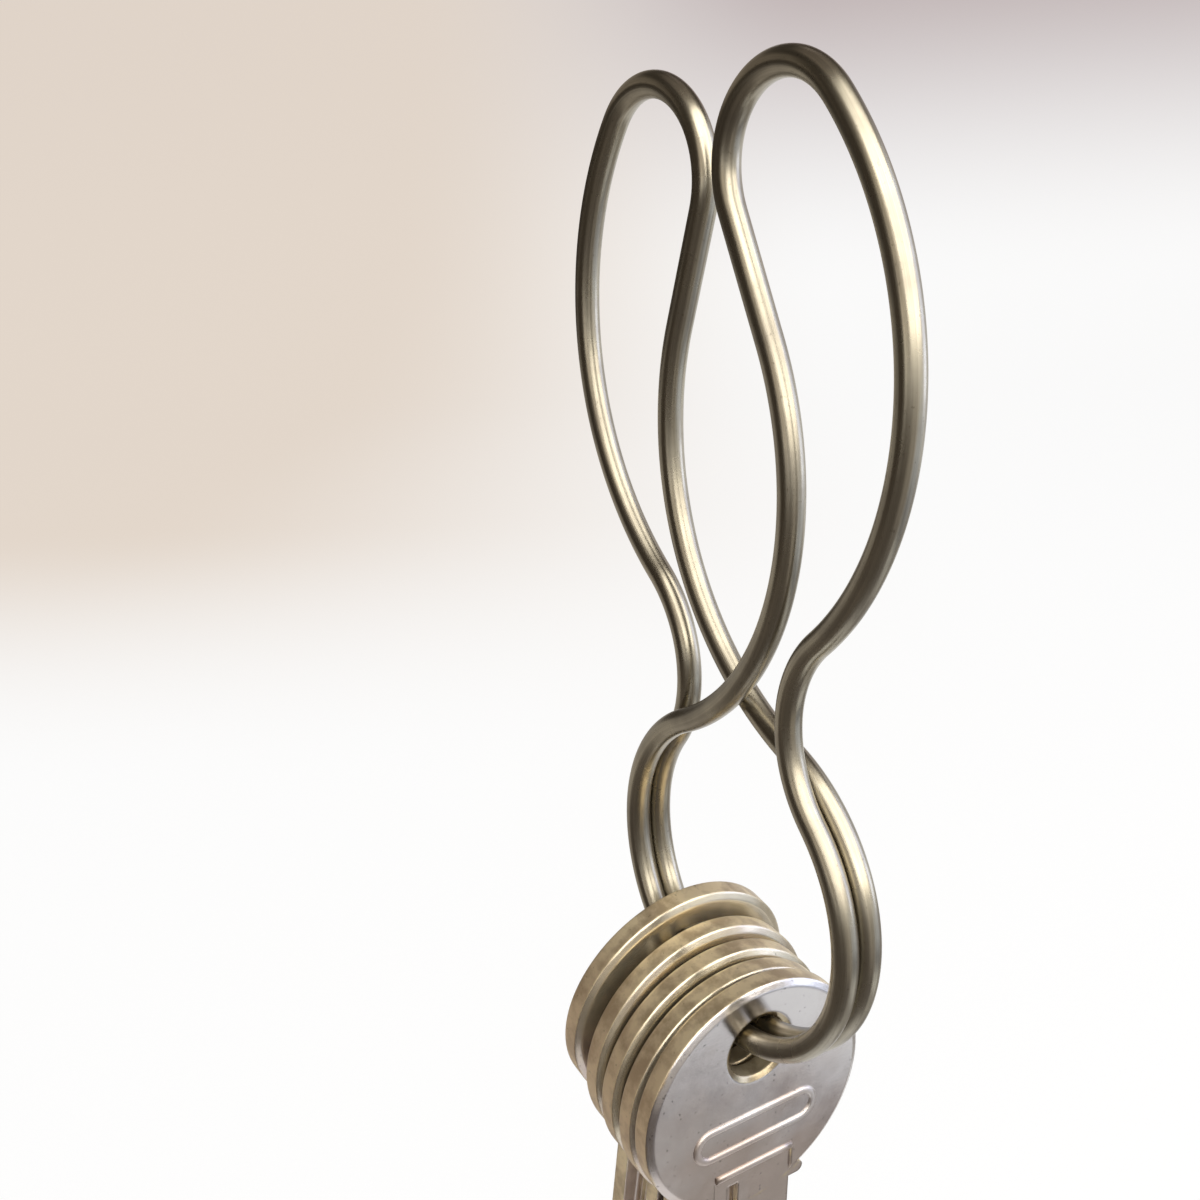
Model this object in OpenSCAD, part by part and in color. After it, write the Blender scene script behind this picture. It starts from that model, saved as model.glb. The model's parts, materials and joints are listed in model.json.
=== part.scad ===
// Belt key clip of round spring wire, with a stack of flat keys on its ring.
// Two equal flat loops cross below the belt gap: each runs once round the ring
// and ends in an ear, and the second is the first turned half round about Z.
// X runs across the ears, Y through the belt gap and Z up, in millimetres.
// The origin is in the middle of the belt gap, at its widest point.

/* [Wire] */
// Diameter of the round spring wire
wire_d = 2; // [1.6:0.1:2.3]
// Clear space between the two layers of wire
layer_gap = 0.15; // [0.1:0.05:0.4]
// Length of the straight tip at the two cut ends of the wire
tip_run = 1.3; // [1.2:0.05:1.6]
// Bevel on the two cut ends of the wire
end_bevel = 0.2; // [0.1:0.05:0.4]

/* [Loops] */
// Radius of the ring, to the middle of the wire
ring_r = 13.4; // [12.6:0.2:15]
// Radius of the waist between the ring and an ear
neck_r = 9.9; // [8:0.1:12]
// Radius of the long outer flank of an ear
flank_r = 24.7; // [22:0.1:28]
// Radius of the round tip of an ear
crown_r = 6.4; // [5.6:0.1:7.2]
// Radius of the belly that goes round the belt
belly_r = 23.5; // [21:0.1:26]
// Straight stretch of the inner leg, under the ear's tip
leg_len = 9.1; // [7:0.1:11]
// Distance from the middle plane to the middle of an ear's outermost wire
ear_reach = 20; // [18.5:0.1:22]
// Clear width of the belt gap at its widest
belt_w = 15.3; // [13.5:0.1:17]
// Clear width of the mouth between the ears
mouth_w = 3.3; // [2:0.1:4.5]

/* [Crossover] */
// Length along the ring over which the wire changes layer
cross_len = 5.2; // [4.4:0.1:6]
// Angle of the crossover's middle from the ring's lowest point, in degrees
cross_at = -16; // [-20:1:-12]
// Space between the front loop's cut end and the crossover
end_gap = 0.25; // [0.15:0.05:0.5]
// Space left for the rear loop's cut end to slide in when the clip opens
slide_room = 1.65; // [1.6:0.05:2]

/* [Key heads] */
// Radius of the round head
head_r = 11; // [10:0.1:12]
// Thickness of a key
key_t = 2.1; // [1.7:0.1:2.4]
// Distance from the hole's middle down to the middle of the head
hole_offset = 5.1; // [4.5:0.1:5.8]
// Radius of the hole in the head
hole_r = 2.85; // [2.7:0.05:3.3]
// Width of the bevel round the head
rim_w = 0.6; // [0.5:0.1:1.5]
// Depth of the bevel round the head
rim_depth = 0.3; // [0.15:0.05:0.5]
// Width of the countersink round the hole
sink_w = 0.5; // [0.2:0.05:0.7]
// Depth of the countersink round the hole
sink_depth = 0.3; // [0.15:0.05:0.5]

/* [Raised oval] */
// Length of the plain oval frame on the head
oval_len = 12.6; // [10:0.1:14]
// Height of the oval frame
oval_h = 3.3; // [2.6:0.1:4]
// Width of the oval frame's line
oval_line = 0.45; // [0.3:0.05:0.7]
// How far the oval frame stands proud of the head
oval_proud = 0.12; // [0.05:0.01:0.16]
// Distance from the hole's middle down to the oval's middle
oval_drop = 8.05; // [7.4:0.05:8.6]

/* [Key blades] */
// Width of the blade
blade_w = 8.2; // [7.4:0.1:9]
// Length of the blade below the head
blade_len = 28; // [24:0.5:32]
// Distance from the hole's middle down to the step where the milled blade begins
step_drop = 12.5; // [11.9:0.1:13]
// How far the milled blade lies below the faces of the head
milling = 0.2; // [0.1:0.05:0.35]
// Width of the wide groove along the blade
groove_w = 1.9; // [1.2:0.1:2.2]
// Width of the narrow groove along the blade
slit_w = 1.1; // [0.8:0.1:1.5]
// Depth of the grooves along the blade
groove_depth = 0.55; // [0.3:0.05:0.6]
// Distance from the blade's step down to where its grooves begin
groove_start = 1.2; // [0.8:0.1:2]
// Depth of the deepest cut in the blade's edge
cut_depth = 3; // [2:0.1:3.4]
// Width of the flat at the bottom of a cut
cut_flat = 1; // [0.6:0.1:1.4]
// Distance from one cut to the next
cut_pitch = 4.2; // [3.8:0.1:4.4]
// Distance from the head down to the first cut
first_cut = 5.4; // [4.8:0.1:6]
// Radius of the rounded stop beside the blade
stop_r = 0.6; // [0.4:0.05:0.8]
// Length of the slope at the blade's tip
tip_len = 3; // [2:0.1:4]

/* [Key stack] */
// Angle on the ring of the front key, from the ring's lowest point, in degrees
stack_at = 2.5; // [0:0.5:5]
// Least space between two keys, at whatever angle they swing
key_clear = 0.08; // [0.05:0.01:0.15]
// Space between the wire and the wall of a key's hole
hole_play = 0.1; // [0.08:0.01:0.2]

/* [Hidden] */
$fn = 72;
// Overrun of every cut, so that no skin is left
over = 0.4;
// How far a stretch of wire stops short of the middle of the knuckle that joins it
lap = 0.04;
// How far a knuckle stands proud of the wire
knuckle_proud = 0.005;
// How far each key leans from upright, in degrees, from the front key to the rear one
key_leans = [6.5, 7, 8.5, 9.3, 13.7];
// Depths of each key's cuts, as shares of the deepest cut, from the head to the tip
cut_shares = [
    [0.55, 0.9, 0.35, 0.75, 0.45],
    [0.8, 0.4, 0.65, 0.3, 0.7],
    [0.35, 0.6, 0.95, 0.5, 0.3],
    [0.7, 0.3, 0.55, 0.85, 0.6],
    [0.45, 0.75, 0.4, 0.6, 0.9]
];
// Slope at the tip on the plain edge, as a share of the slope on the cut edge
back_slope_share = 0.5;
// Blade's half width left at its tip on the cut edge, as a share
tip_share = 0.3;
// The stop's middle: out from the blade and down from the head's edge, as shares of its radius
stop_out_share = 1.5;
stop_down_share = 0.7;
// Number of rings and sides in the crossover's mesh
cross_rings = 14;
cross_sides = 24;

wire_r = wire_d / 2;
layer_y = (wire_d + layer_gap) / 2;
mouth_x = (mouth_w + wire_d) / 2;
belly_x = (belt_w + wire_d) / 2;

// The loop is a chain of arcs that touch end to end: ring, waist, flank, tip,
// a straight inner leg, and belly. Each circle is [x, z, radius, sense], with
// sense 1 where the wire turns left as it is followed and -1 where it turns right.
function gap_between(a, b) = sqrt(pow(b[0] - a[0], 2) + pow(b[1] - a[1], 2));
function limit(v) = max(-1, min(1, v));
function angle_to(a, b) = atan2(b[1] - a[1], b[0] - a[0]);
// Heading of the wire where it passes from circle a to circle b
function passing(a, b) =
    angle_to(a, b) - asin(limit((b[3] * b[2] - a[3] * a[2]) / gap_between(a, b)));
// Point of circle c where the wire's heading is h
function point_at(c, h) = [c[0] + c[3] * c[2] * sin(h), c[1] - c[3] * c[2] * cos(h)];
// Arc length on the ring as an angle
function ring_angle(s) = s / ring_r * 180 / PI;

belly = [belly_x - belly_r, 0, belly_r, -1];
ring = [0, -sqrt(pow(ring_r + belly_r, 2) - pow(belly[0], 2)), ring_r, 1];
crown_x = mouth_x + crown_r;
crown_z = sqrt(pow(leg_len, 2) + pow(crown_r + belly_r, 2) - pow(crown_x - belly[0], 2));
crown = [crown_x, crown_z, crown_r, 1];
flank_x = ear_reach - flank_r;
flank_z = crown_z - sqrt(pow(flank_r - crown_r, 2) - pow(crown_x - flank_x, 2));
flank = [flank_x, flank_z, flank_r, 1];
// The waist touches the ring and the flank from outside
span = gap_between(ring, flank);
to_ring = ring_r + neck_r;
to_flank = flank_r + neck_r;
along = (pow(to_ring, 2) - pow(to_flank, 2) + pow(span, 2)) / (2 * span);
aside = sqrt(pow(to_ring, 2) - pow(along, 2));
ux = (flank[0] - ring[0]) / span;
uz = (flank[1] - ring[1]) / span;
neck = [ring[0] + along * ux + aside * uz, ring[1] + along * uz - aside * ux, neck_r, -1];

ring_exit = passing(ring, neck);
neck_exit = passing(neck, flank);
flank_exit = passing(flank, crown);
crown_exit = passing(crown, belly);
ring_entry = passing(belly, ring);

// Places of the cut ends and of the crossover, as headings on the ring
cross_half = ring_angle(cross_len / 2);
cross_from = cross_at - cross_half;
cross_to = cross_at + cross_half;
front_end = cross_to + ring_angle(end_gap);
rear_end = cross_from - ring_angle(slide_room);

// One bend of the wire on circle c, from heading h0 to heading h1. It stops short
// of each end by the lap, inside the knuckle that joins it to the next stretch.
module bend(c, h0, h1, lap0 = lap, lap1 = lap) {
    from = h0 + c[3] * lap0 / c[2] * 180 / PI;
    to = h1 - c[3] * lap1 / c[2] * 180 / PI;
    translate([c[0], -layer_y, c[1]])
        rotate([90, 0, 0])
            rotate([0, 0, c[3] > 0 ? from - 90 : to + 90])
                rotate_extrude(angle = abs(to - from), $fn = 144)
                    translate([c[2], 0])
                        circle(d = wire_d);
}

// A straight run of the wire from point a to point b, both [x, z]
module run(a, b) {
    translate([a[0], -layer_y, a[1]])
        rotate([0, 90 - angle_to(a, b), 0])
            translate([0, 0, lap])
                cylinder(d = wire_d, h = gap_between(a, b) - 2 * lap);
}

// The joint between two stretches of the wire, where circle c has heading h.
// It stands a hair proud of both, and its poles lie along the wire.
module knuckle(c, h) {
    p = point_at(c, h);
    translate([p[0], -layer_y, p[1]])
        rotate([0, 90 - h, 0])
            sphere(r = wire_r + knuckle_proud, $fn = 96);
}

// The straight tip of a cut end, which leaves the ring at heading h, with its bevel
module cut_tip(h) {
    p = point_at(ring, h);
    translate([p[0], -layer_y, p[1]])
        rotate([0, -90 - h, 0])
            rotate_extrude()
                polygon([
                    [0, lap],
                    [wire_r, lap],
                    [wire_r, tip_run - end_bevel],
                    [wire_r - end_bevel, tip_run],
                    [0, tip_run]
                ]);
}

// The whole loop but for the stretch of ring from heading stop to heading start.
// The wire joins the crossover at stop and has its cut end at start.
module loop(stop, start) {
    tip_from = start + ring_angle(tip_run);
    cut_tip(tip_from);
    knuckle(ring, tip_from);
    bend(ring, tip_from, ring_exit);
    knuckle(ring, ring_exit);
    bend(neck, ring_exit, neck_exit);
    knuckle(neck, neck_exit);
    bend(flank, neck_exit, flank_exit);
    knuckle(flank, flank_exit);
    bend(crown, flank_exit, crown_exit + 360);
    knuckle(crown, crown_exit);
    run(point_at(crown, crown_exit), point_at(belly, crown_exit));
    knuckle(belly, crown_exit);
    bend(belly, crown_exit, ring_entry);
    knuckle(belly, ring_entry);
    bend(ring, ring_entry, stop, lap, 0);
}

module front_loop() {
    color([0.56, 0.53, 0.49])
        loop(cross_from, front_end);
}

module rear_loop() {
    color([0.56, 0.53, 0.49])
        rotate([0, 0, 180])
            loop(-cross_to, -rear_end);
}

// The crossover is swept along the ring while it moves from layer to layer
function ease(t) = t * t * (3 - 2 * t);
function ease_slope(t) = 6 * t * (1 - t);
function cross_point(t, a) =
    let (
        h = cross_from + (cross_to - cross_from) * t,
        slope = atan2(2 * layer_y * ease_slope(t), cross_len),
        c = [ring[0] + ring_r * sin(h), layer_y * (2 * ease(t) - 1), ring[1] - ring_r * cos(h)],
        out = [sin(h), 0, -cos(h)],
        side = [-cos(h) * sin(slope), cos(slope), -sin(h) * sin(slope)]
    )
    c + wire_r * (cos(a) * out + sin(a) * side);

module crossover() {
    pts = [
        for (i = [0:cross_rings])
            for (j = [0:cross_sides - 1])
                cross_point(i / cross_rings, 360 * j / cross_sides)
    ];
    function at(i, j) = i * cross_sides + (j % cross_sides);
    sides = [
        for (i = [0:cross_rings - 1])
            for (j = [0:cross_sides - 1])
                for (k = [0, 1])
                    k == 0
                        ? [at(i, j), at(i + 1, j + 1), at(i, j + 1)]
                        : [at(i, j), at(i + 1, j), at(i + 1, j + 1)]
    ];
    first = [for (j = [0:cross_sides - 1]) at(0, j)];
    last = [for (j = [cross_sides - 1:-1:0]) at(cross_rings, j)];
    color([0.56, 0.53, 0.49])
        polyhedron(points = pts, faces = concat([first], sides, [last]));
}

// Where each key hangs. Key 0 is the front one. Its plane crosses the ring at
// hang_at, and the space to the next key leaves room for both to swing.
function key_space(i) = key_clear + head_r * tan(key_leans[i] - key_leans[i - 1]);
function key_step(i) = ring_angle(key_t + key_space(i));
function hang_at(i) =
    i == 0
        ? stack_at
        : hang_at(i - 1) - key_step(i) / cos(key_step(i) - hang_at(i - 1) - key_leans[i]);
// Angle between the wire and the hole's axis
function slant(i) = abs(hang_at(i) + key_leans[i]);
// The two wires lie side by side at the top of the hole, and a slanted pair lies lower
function hang_drop(i) =
    sqrt(pow(hole_r - wire_r - hole_play, 2) - pow(layer_y, 2))
    - key_t / 2 * tan(slant(i)) - wire_r * (1 / cos(slant(i)) - 1);
function hole_at(i) = [
    ring[0] + ring_r * sin(hang_at(i)) - hang_drop(i) * sin(key_leans[i]),
    0,
    ring[1] - ring_r * cos(hang_at(i)) - hang_drop(i) * cos(key_leans[i])
];

// In a key's own frame X goes through the hole, Z is up and the hole's middle is the origin
head_z = -hole_offset;
head_foot = head_z - head_r;
blade_foot = head_foot - blade_len;
blade_t = key_t - 2 * milling;
stop_y = blade_w / 2 + stop_out_share * stop_r;
stop_z = head_z - sqrt(pow(head_r, 2) - pow(stop_y, 2)) - stop_down_share * stop_r;

module head_disc() {
    translate([0, 0, head_z])
        rotate([0, 90, 0])
            rotate_extrude()
                polygon([
                    [0, -key_t / 2],
                    [head_r - rim_w, -key_t / 2],
                    [head_r, rim_depth - key_t / 2],
                    [head_r, key_t / 2 - rim_depth],
                    [head_r - rim_w, key_t / 2],
                    [0, key_t / 2]
                ]);
}

// The hole with a countersink at each face
module hole_cut() {
    rotate([0, 90, 0])
        rotate_extrude()
            polygon([
                [0, -key_t / 2 - over],
                [hole_r + sink_w * (1 + over / sink_depth), -key_t / 2 - over],
                [hole_r, sink_depth - key_t / 2],
                [hole_r, key_t / 2 - sink_depth],
                [hole_r + sink_w * (1 + over / sink_depth), key_t / 2 + over],
                [0, key_t / 2 + over]
            ]);
}

module oval(length, height) {
    for (s = [-1, 1])
        translate([s * (length - height) / 2, 0])
            circle(d = height);
    square([length - height, height], center = true);
}

module oval_frame() {
    translate([key_t / 2 - oval_proud, 0, -oval_drop])
        rotate([90, 0, 90])
            linear_extrude(height = 2 * oval_proud)
                difference() {
                    oval(oval_len, oval_h);
                    oval(oval_len - 2 * oval_line, oval_h - 2 * oval_line);
                }
}

// One cut in the blade's edge, with its middle at height z and of depth d
module edge_cut(z, d) {
    edge = blade_w / 2;
    polygon([
        [edge + over, z - cut_flat / 2 - d - over],
        [edge - d, z - cut_flat / 2],
        [edge - d, z + cut_flat / 2],
        [edge + over, z + cut_flat / 2 + d + over]
    ]);
}

module blade_outline(cuts) {
    edge = blade_w / 2;
    difference() {
        polygon([
            [-edge, -step_drop],
            [-edge, blade_foot + tip_len * back_slope_share],
            [-edge + tip_len * back_slope_share, blade_foot],
            [edge * tip_share, blade_foot],
            [edge, blade_foot + tip_len],
            [edge, -step_drop]
        ]);
        for (k = [0:len(cuts) - 1])
            edge_cut(head_foot - first_cut - k * cut_pitch, cut_depth * cuts[k]);
    }
}

module blade(cuts) {
    translate([-blade_t / 2, 0, 0])
        rotate([90, 0, 90])
            linear_extrude(height = blade_t)
                blade_outline(cuts);
}

// The step inside the head where the milled blade begins, on the face towards side
module milled_step(side) {
    x0 = side > 0 ? blade_t / 2 : -key_t / 2 - over;
    translate([x0, -blade_w / 2, head_foot - over])
        cube([milling + over, blade_w, over - step_drop - head_foot]);
}

// A groove along the blade on the face towards side, w wide with its middle at y
module groove(side, y, w) {
    x0 = side > 0 ? blade_t / 2 - groove_depth : -blade_t / 2 - over;
    translate([x0, y - w / 2, blade_foot - over])
        cube([groove_depth + over, w, over - blade_foot - step_drop - groove_start]);
}

// The rounded stop beside the blade, joined to the head's lower edge
module side_stop() {
    translate([-blade_t / 2, 0, 0])
        rotate([90, 0, 90])
            linear_extrude(height = blade_t) {
                translate([stop_y, stop_z])
                    circle(r = stop_r);
                translate([blade_w / 2 - stop_r, stop_z - stop_r])
                    square([stop_y - blade_w / 2 + stop_r, 2 * stop_r]);
            }
}

module flat_key(cuts) {
    difference() {
        union() {
            difference() {
                head_disc();
                milled_step(1);
                milled_step(-1);
            }
            oval_frame();
            blade(cuts);
            side_stop();
        }
        hole_cut();
        groove(1, -blade_w / 4, slit_w);
        groove(-1, 0, groove_w);
    }
}

// Key number i, counted from the front, in its place on the ring
module hung_key(i) {
    translate(hole_at(i))
        rotate([0, key_leans[i], 0])
            flat_key(cut_shares[i]);
}

module key_1() {
    color([0.76, 0.74, 0.76]) hung_key(0);
}

module key_2() {
    color([0.72, 0.66, 0.5]) hung_key(1);
}

module key_3() {
    color([0.74, 0.69, 0.55]) hung_key(2);
}

module key_4() {
    color([0.72, 0.66, 0.5]) hung_key(3);
}

module key_5() {
    color([0.7, 0.62, 0.44]) hung_key(4);
}

front_loop();
rear_loop();
crossover();
key_1();
key_2();
key_3();
key_4();
key_5();
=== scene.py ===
"""Looks of a belt key clip: a sprung wire clip that carries five flat keys on its ring."""

import json
import math

import bmesh
import bpy
from mathutils import Matrix, Vector


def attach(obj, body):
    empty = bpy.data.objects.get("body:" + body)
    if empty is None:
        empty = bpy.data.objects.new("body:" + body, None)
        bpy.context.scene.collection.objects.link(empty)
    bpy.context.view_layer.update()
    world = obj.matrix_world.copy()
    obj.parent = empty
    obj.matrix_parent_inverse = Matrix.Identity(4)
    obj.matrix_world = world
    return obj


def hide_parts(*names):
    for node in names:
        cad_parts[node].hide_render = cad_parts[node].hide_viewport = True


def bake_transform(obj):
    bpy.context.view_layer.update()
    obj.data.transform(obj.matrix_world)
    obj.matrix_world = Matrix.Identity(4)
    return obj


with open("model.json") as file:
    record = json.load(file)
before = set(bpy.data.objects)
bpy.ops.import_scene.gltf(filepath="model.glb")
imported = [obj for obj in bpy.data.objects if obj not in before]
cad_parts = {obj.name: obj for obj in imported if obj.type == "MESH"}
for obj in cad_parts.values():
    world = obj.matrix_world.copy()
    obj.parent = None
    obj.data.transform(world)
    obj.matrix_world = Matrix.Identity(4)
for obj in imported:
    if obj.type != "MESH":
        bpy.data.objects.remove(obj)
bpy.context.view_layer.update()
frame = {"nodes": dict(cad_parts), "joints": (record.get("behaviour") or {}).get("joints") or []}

bl_info = {
    "name": "Belt Key Clip",
    "version": (1, 0, 0),
    "blender": (4, 5, 0),
    "location": "View3D > Sidebar > Key Clip",
    "description": "Draws the wire, the keys and the stage of a belt key clip",
    "category": "Object",
}

MM = 0.001


class ClipWireSizes(bpy.types.PropertyGroup):
    """Sizes of the bent spring wire. Radii run to the middle of the wire"""

    wire_d: bpy.props.FloatProperty(
        name="Wire", description="Diameter of the round wire", default=2 * MM, unit="LENGTH", precision=5
    )
    layer_gap: bpy.props.FloatProperty(
        name="Layer gap",
        description="Clear space between the two layers of wire",
        default=0.15 * MM,
        unit="LENGTH",
        precision=5,
    )
    tip_run: bpy.props.FloatProperty(
        name="Cut tip",
        description="Length of the straight tip at a cut end",
        default=1.3 * MM,
        unit="LENGTH",
        precision=5,
    )
    end_bevel: bpy.props.FloatProperty(
        name="End bevel", description="Bevel round a cut end", default=0.2 * MM, unit="LENGTH", precision=5
    )
    ring_r: bpy.props.FloatProperty(
        name="Ring", description="Radius of the key ring", default=13.4 * MM, unit="LENGTH", precision=5
    )
    neck_r: bpy.props.FloatProperty(
        name="Waist",
        description="Radius of the waist above the ring",
        default=9.9 * MM,
        unit="LENGTH",
        precision=5,
    )
    flank_r: bpy.props.FloatProperty(
        name="Flank",
        description="Radius of an ear's outer flank",
        default=24.7 * MM,
        unit="LENGTH",
        precision=5,
    )
    crown_r: bpy.props.FloatProperty(
        name="Ear tip",
        description="Radius of an ear's round tip",
        default=6.4 * MM,
        unit="LENGTH",
        precision=5,
    )
    belly_r: bpy.props.FloatProperty(
        name="Belly",
        description="Radius of the belly round the belt",
        default=23.5 * MM,
        unit="LENGTH",
        precision=5,
    )
    leg_len: bpy.props.FloatProperty(
        name="Inner leg",
        description="Straight stretch under the ear's tip",
        default=9.1 * MM,
        unit="LENGTH",
        precision=5,
    )
    ear_reach: bpy.props.FloatProperty(
        name="Ear reach",
        description="From the middle plane to the middle of the outermost wire",
        default=20 * MM,
        unit="LENGTH",
        precision=5,
    )
    belt_w: bpy.props.FloatProperty(
        name="Belt gap",
        description="Clear width where the belt goes",
        default=15.3 * MM,
        unit="LENGTH",
        precision=5,
    )
    mouth_w: bpy.props.FloatProperty(
        name="Mouth", description="Clear width between the ears", default=3.3 * MM, unit="LENGTH", precision=5
    )
    cross_len: bpy.props.FloatProperty(
        name="Crossover",
        description="Length over which the wire changes layer",
        default=5.2 * MM,
        unit="LENGTH",
        precision=5,
    )
    cross_at: bpy.props.FloatProperty(
        name="Crossover place",
        description="Angle on the ring from its lowest point",
        default=math.radians(-16),
        subtype="ANGLE",
    )
    end_gap: bpy.props.FloatProperty(
        name="Front end gap",
        description="From the front cut end to the crossover",
        default=0.25 * MM,
        unit="LENGTH",
        precision=5,
    )
    slide_room: bpy.props.FloatProperty(
        name="Slide room",
        description="From the rear cut end to the crossover",
        default=1.65 * MM,
        unit="LENGTH",
        precision=5,
    )


class KeySizes(bpy.types.PropertyGroup):
    """Sizes of the keys that the finishes follow"""

    head_r: bpy.props.FloatProperty(
        name="Head", description="Radius of a key's round head", default=11 * MM, unit="LENGTH", precision=5
    )
    hole_offset: bpy.props.FloatProperty(
        name="Hole offset",
        description="From the hole's middle to the head's middle",
        default=5.1 * MM,
        unit="LENGTH",
        precision=5,
    )
    hole_r: bpy.props.FloatProperty(
        name="Hole",
        description="Radius of the hole in the head",
        default=2.85 * MM,
        unit="LENGTH",
        precision=5,
    )
    sink_w: bpy.props.FloatProperty(
        name="Countersink",
        description="Width of the countersink round the hole",
        default=0.5 * MM,
        unit="LENGTH",
        precision=5,
    )
    rim_w: bpy.props.FloatProperty(
        name="Rim",
        description="Width of the bevel round the head",
        default=0.6 * MM,
        unit="LENGTH",
        precision=5,
    )
    key_t: bpy.props.FloatProperty(
        name="Thickness", description="Thickness of a key", default=2.1 * MM, unit="LENGTH", precision=5
    )
    oval_len: bpy.props.FloatProperty(
        name="Oval length",
        description="Length of the raised oval frame",
        default=12.6 * MM,
        unit="LENGTH",
        precision=5,
    )
    oval_h: bpy.props.FloatProperty(
        name="Oval height",
        description="Height of the raised oval frame",
        default=3.3 * MM,
        unit="LENGTH",
        precision=5,
    )
    oval_line: bpy.props.FloatProperty(
        name="Oval line",
        description="Width of the frame's line before its sides slope out",
        default=0.45 * MM,
        unit="LENGTH",
        precision=5,
    )
    oval_drop: bpy.props.FloatProperty(
        name="Oval place",
        description="From the hole's middle down to the oval's middle",
        default=8.05 * MM,
        unit="LENGTH",
        precision=5,
    )
    step_drop: bpy.props.FloatProperty(
        name="Step place",
        description="From the hole's middle down to the blade's step",
        default=12.5 * MM,
        unit="LENGTH",
        precision=5,
    )
    blade_w: bpy.props.FloatProperty(
        name="Blade", description="Width of the blade", default=8.2 * MM, unit="LENGTH", precision=5
    )
    bead_w: bpy.props.FloatProperty(
        name="Bead width",
        description="Width at the foot of the rounded beads on the front head",
        default=0.72 * MM,
        unit="LENGTH",
        precision=5,
    )
    bead_h: bpy.props.FloatProperty(
        name="Bead height",
        description="Height of the rounded beads on the front head, over its face",
        default=0.21 * MM,
        unit="LENGTH",
        precision=5,
    )
    soft_edge: bpy.props.FloatProperty(
        name="Soft edge",
        description="Radius that handling has worn on the keys' edges",
        default=0.34 * MM,
        unit="LENGTH",
        precision=5,
    )


class ClipColours(bpy.types.PropertyGroup):
    """Colours as sRGB hex values"""

    steel: bpy.props.StringProperty(name="Steel", description="Drawn spring steel", default="#aba493")
    steel_tint: bpy.props.StringProperty(
        name="Steel tint", description="Brown tint of bent and handled steel", default="#8d867a"
    )
    nickel: bpy.props.StringProperty(name="Nickel", description="Polished nickel plate", default="#d8d4d3")
    nickel_aged: bpy.props.StringProperty(
        name="Aged nickel", description="Yellowed nickel plate of the keys behind", default="#d6ccb6"
    )
    # The worn colour is also the painted reflection low on the keys' plates
    worn_nickel_and_reflection: bpy.props.StringProperty(
        name="Worn nickel", description="Nickel dulled by handling", default="#c0b3ab"
    )
    brass: bpy.props.StringProperty(
        name="Brass", description="Brass that shows through worn plate", default="#dacbab"
    )
    brass_dark: bpy.props.StringProperty(name="Dark brass", description="Tarnished brass", default="#b5a488")
    copper: bpy.props.StringProperty(
        name="Copper tone", description="Reddish tarnish low on the brass", default="#b3937a"
    )
    paper: bpy.props.StringProperty(
        name="Paper", description="Pale floor and lower backdrop", default="#fefefe"
    )
    paper_warm: bpy.props.StringProperty(
        name="Warm paper", description="Backdrop far out on the left", default="#e6dace"
    )
    # The upper backdrop's darker grey rose is painted shade
    paper_shade_high: bpy.props.StringProperty(name="Upper paper", description="Upper backdrop", default="#bdb0b0")
    room_low: bpy.props.StringProperty(
        name="Lower room", description="Room light at the height of the object", default="#a89c90"
    )
    room_high: bpy.props.StringProperty(
        name="Upper room", description="Room light from above", default="#7a7068"
    )
    key_light: bpy.props.StringProperty(
        name="Key light", description="Colour of the key softbox", default="#fffcf4"
    )
    front_light: bpy.props.StringProperty(
        name="Front light", description="Colour of the softbox left of the camera", default="#fff6e6"
    )
    cool_light: bpy.props.StringProperty(
        name="Cool light", description="Colour of the cool softbox", default="#cfdcff"
    )


class StageSizes(bpy.types.PropertyGroup):
    """Sizes of the stage and strength of its light"""

    floor_z: bpy.props.FloatProperty(
        name="Floor", description="Height of the floor", default=-0.125, unit="LENGTH"
    )
    room: bpy.props.FloatProperty(
        name="Room", description="From the object to the backdrop", default=1.3, unit="LENGTH"
    )
    key_power: bpy.props.FloatProperty(
        name="Key light", description="Power of the warm key softbox", default=7.6, unit="POWER"
    )
    front_power: bpy.props.FloatProperty(
        name="Front light", description="Power of the softbox left of the camera", default=0.3, unit="POWER"
    )
    cool_power: bpy.props.FloatProperty(
        name="Cool light", description="Power of the cool softbox", default=0.9, unit="POWER"
    )


# Shared by all pieces


def linear(hex_colour):
    """An sRGB hex value as linear RGBA."""
    value = hex_colour.lstrip("#")
    channels = [int(value[i : i + 2], 16) / 255 for i in (0, 2, 4)]
    return tuple(c / 12.92 if c <= 0.04045 else ((c + 0.055) / 1.055) ** 2.4 for c in channels) + (1.0,)


def put(tree, kind, inputs=None, **settings):
    """Adds a node. Each input is a value, or an output socket to link."""
    node = tree.nodes.new(kind)
    for name, value in settings.items():
        setattr(node, name, value)
    for name, value in (inputs or {}).items():
        if isinstance(value, bpy.types.NodeSocket):
            tree.links.new(value, node.inputs[name])
        else:
            node.inputs[name].default_value = value
    return node


def new_material(name):
    """An empty material with its shader and output, as (material, tree, shader)."""
    material = bpy.data.materials.new(name)
    material.use_nodes = True
    tree = material.node_tree
    tree.nodes.clear()
    shader = put(tree, "ShaderNodeBsdfPrincipled")
    put(tree, "ShaderNodeOutputMaterial", {"Surface": shader.outputs[0]})
    return material, tree, shader


def add_object(name, data):
    """A new object in the scene, with the mesh, light or camera in data."""
    obj = bpy.data.objects.new(name, data)
    bpy.context.scene.collection.objects.link(obj)
    return obj


def add_mesh(name, build):
    """A new object in the scene from a bmesh, which is freed."""
    mesh = bpy.data.meshes.new(name)
    build.to_mesh(mesh)
    build.free()
    return add_object(name, mesh)


# The wire


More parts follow.
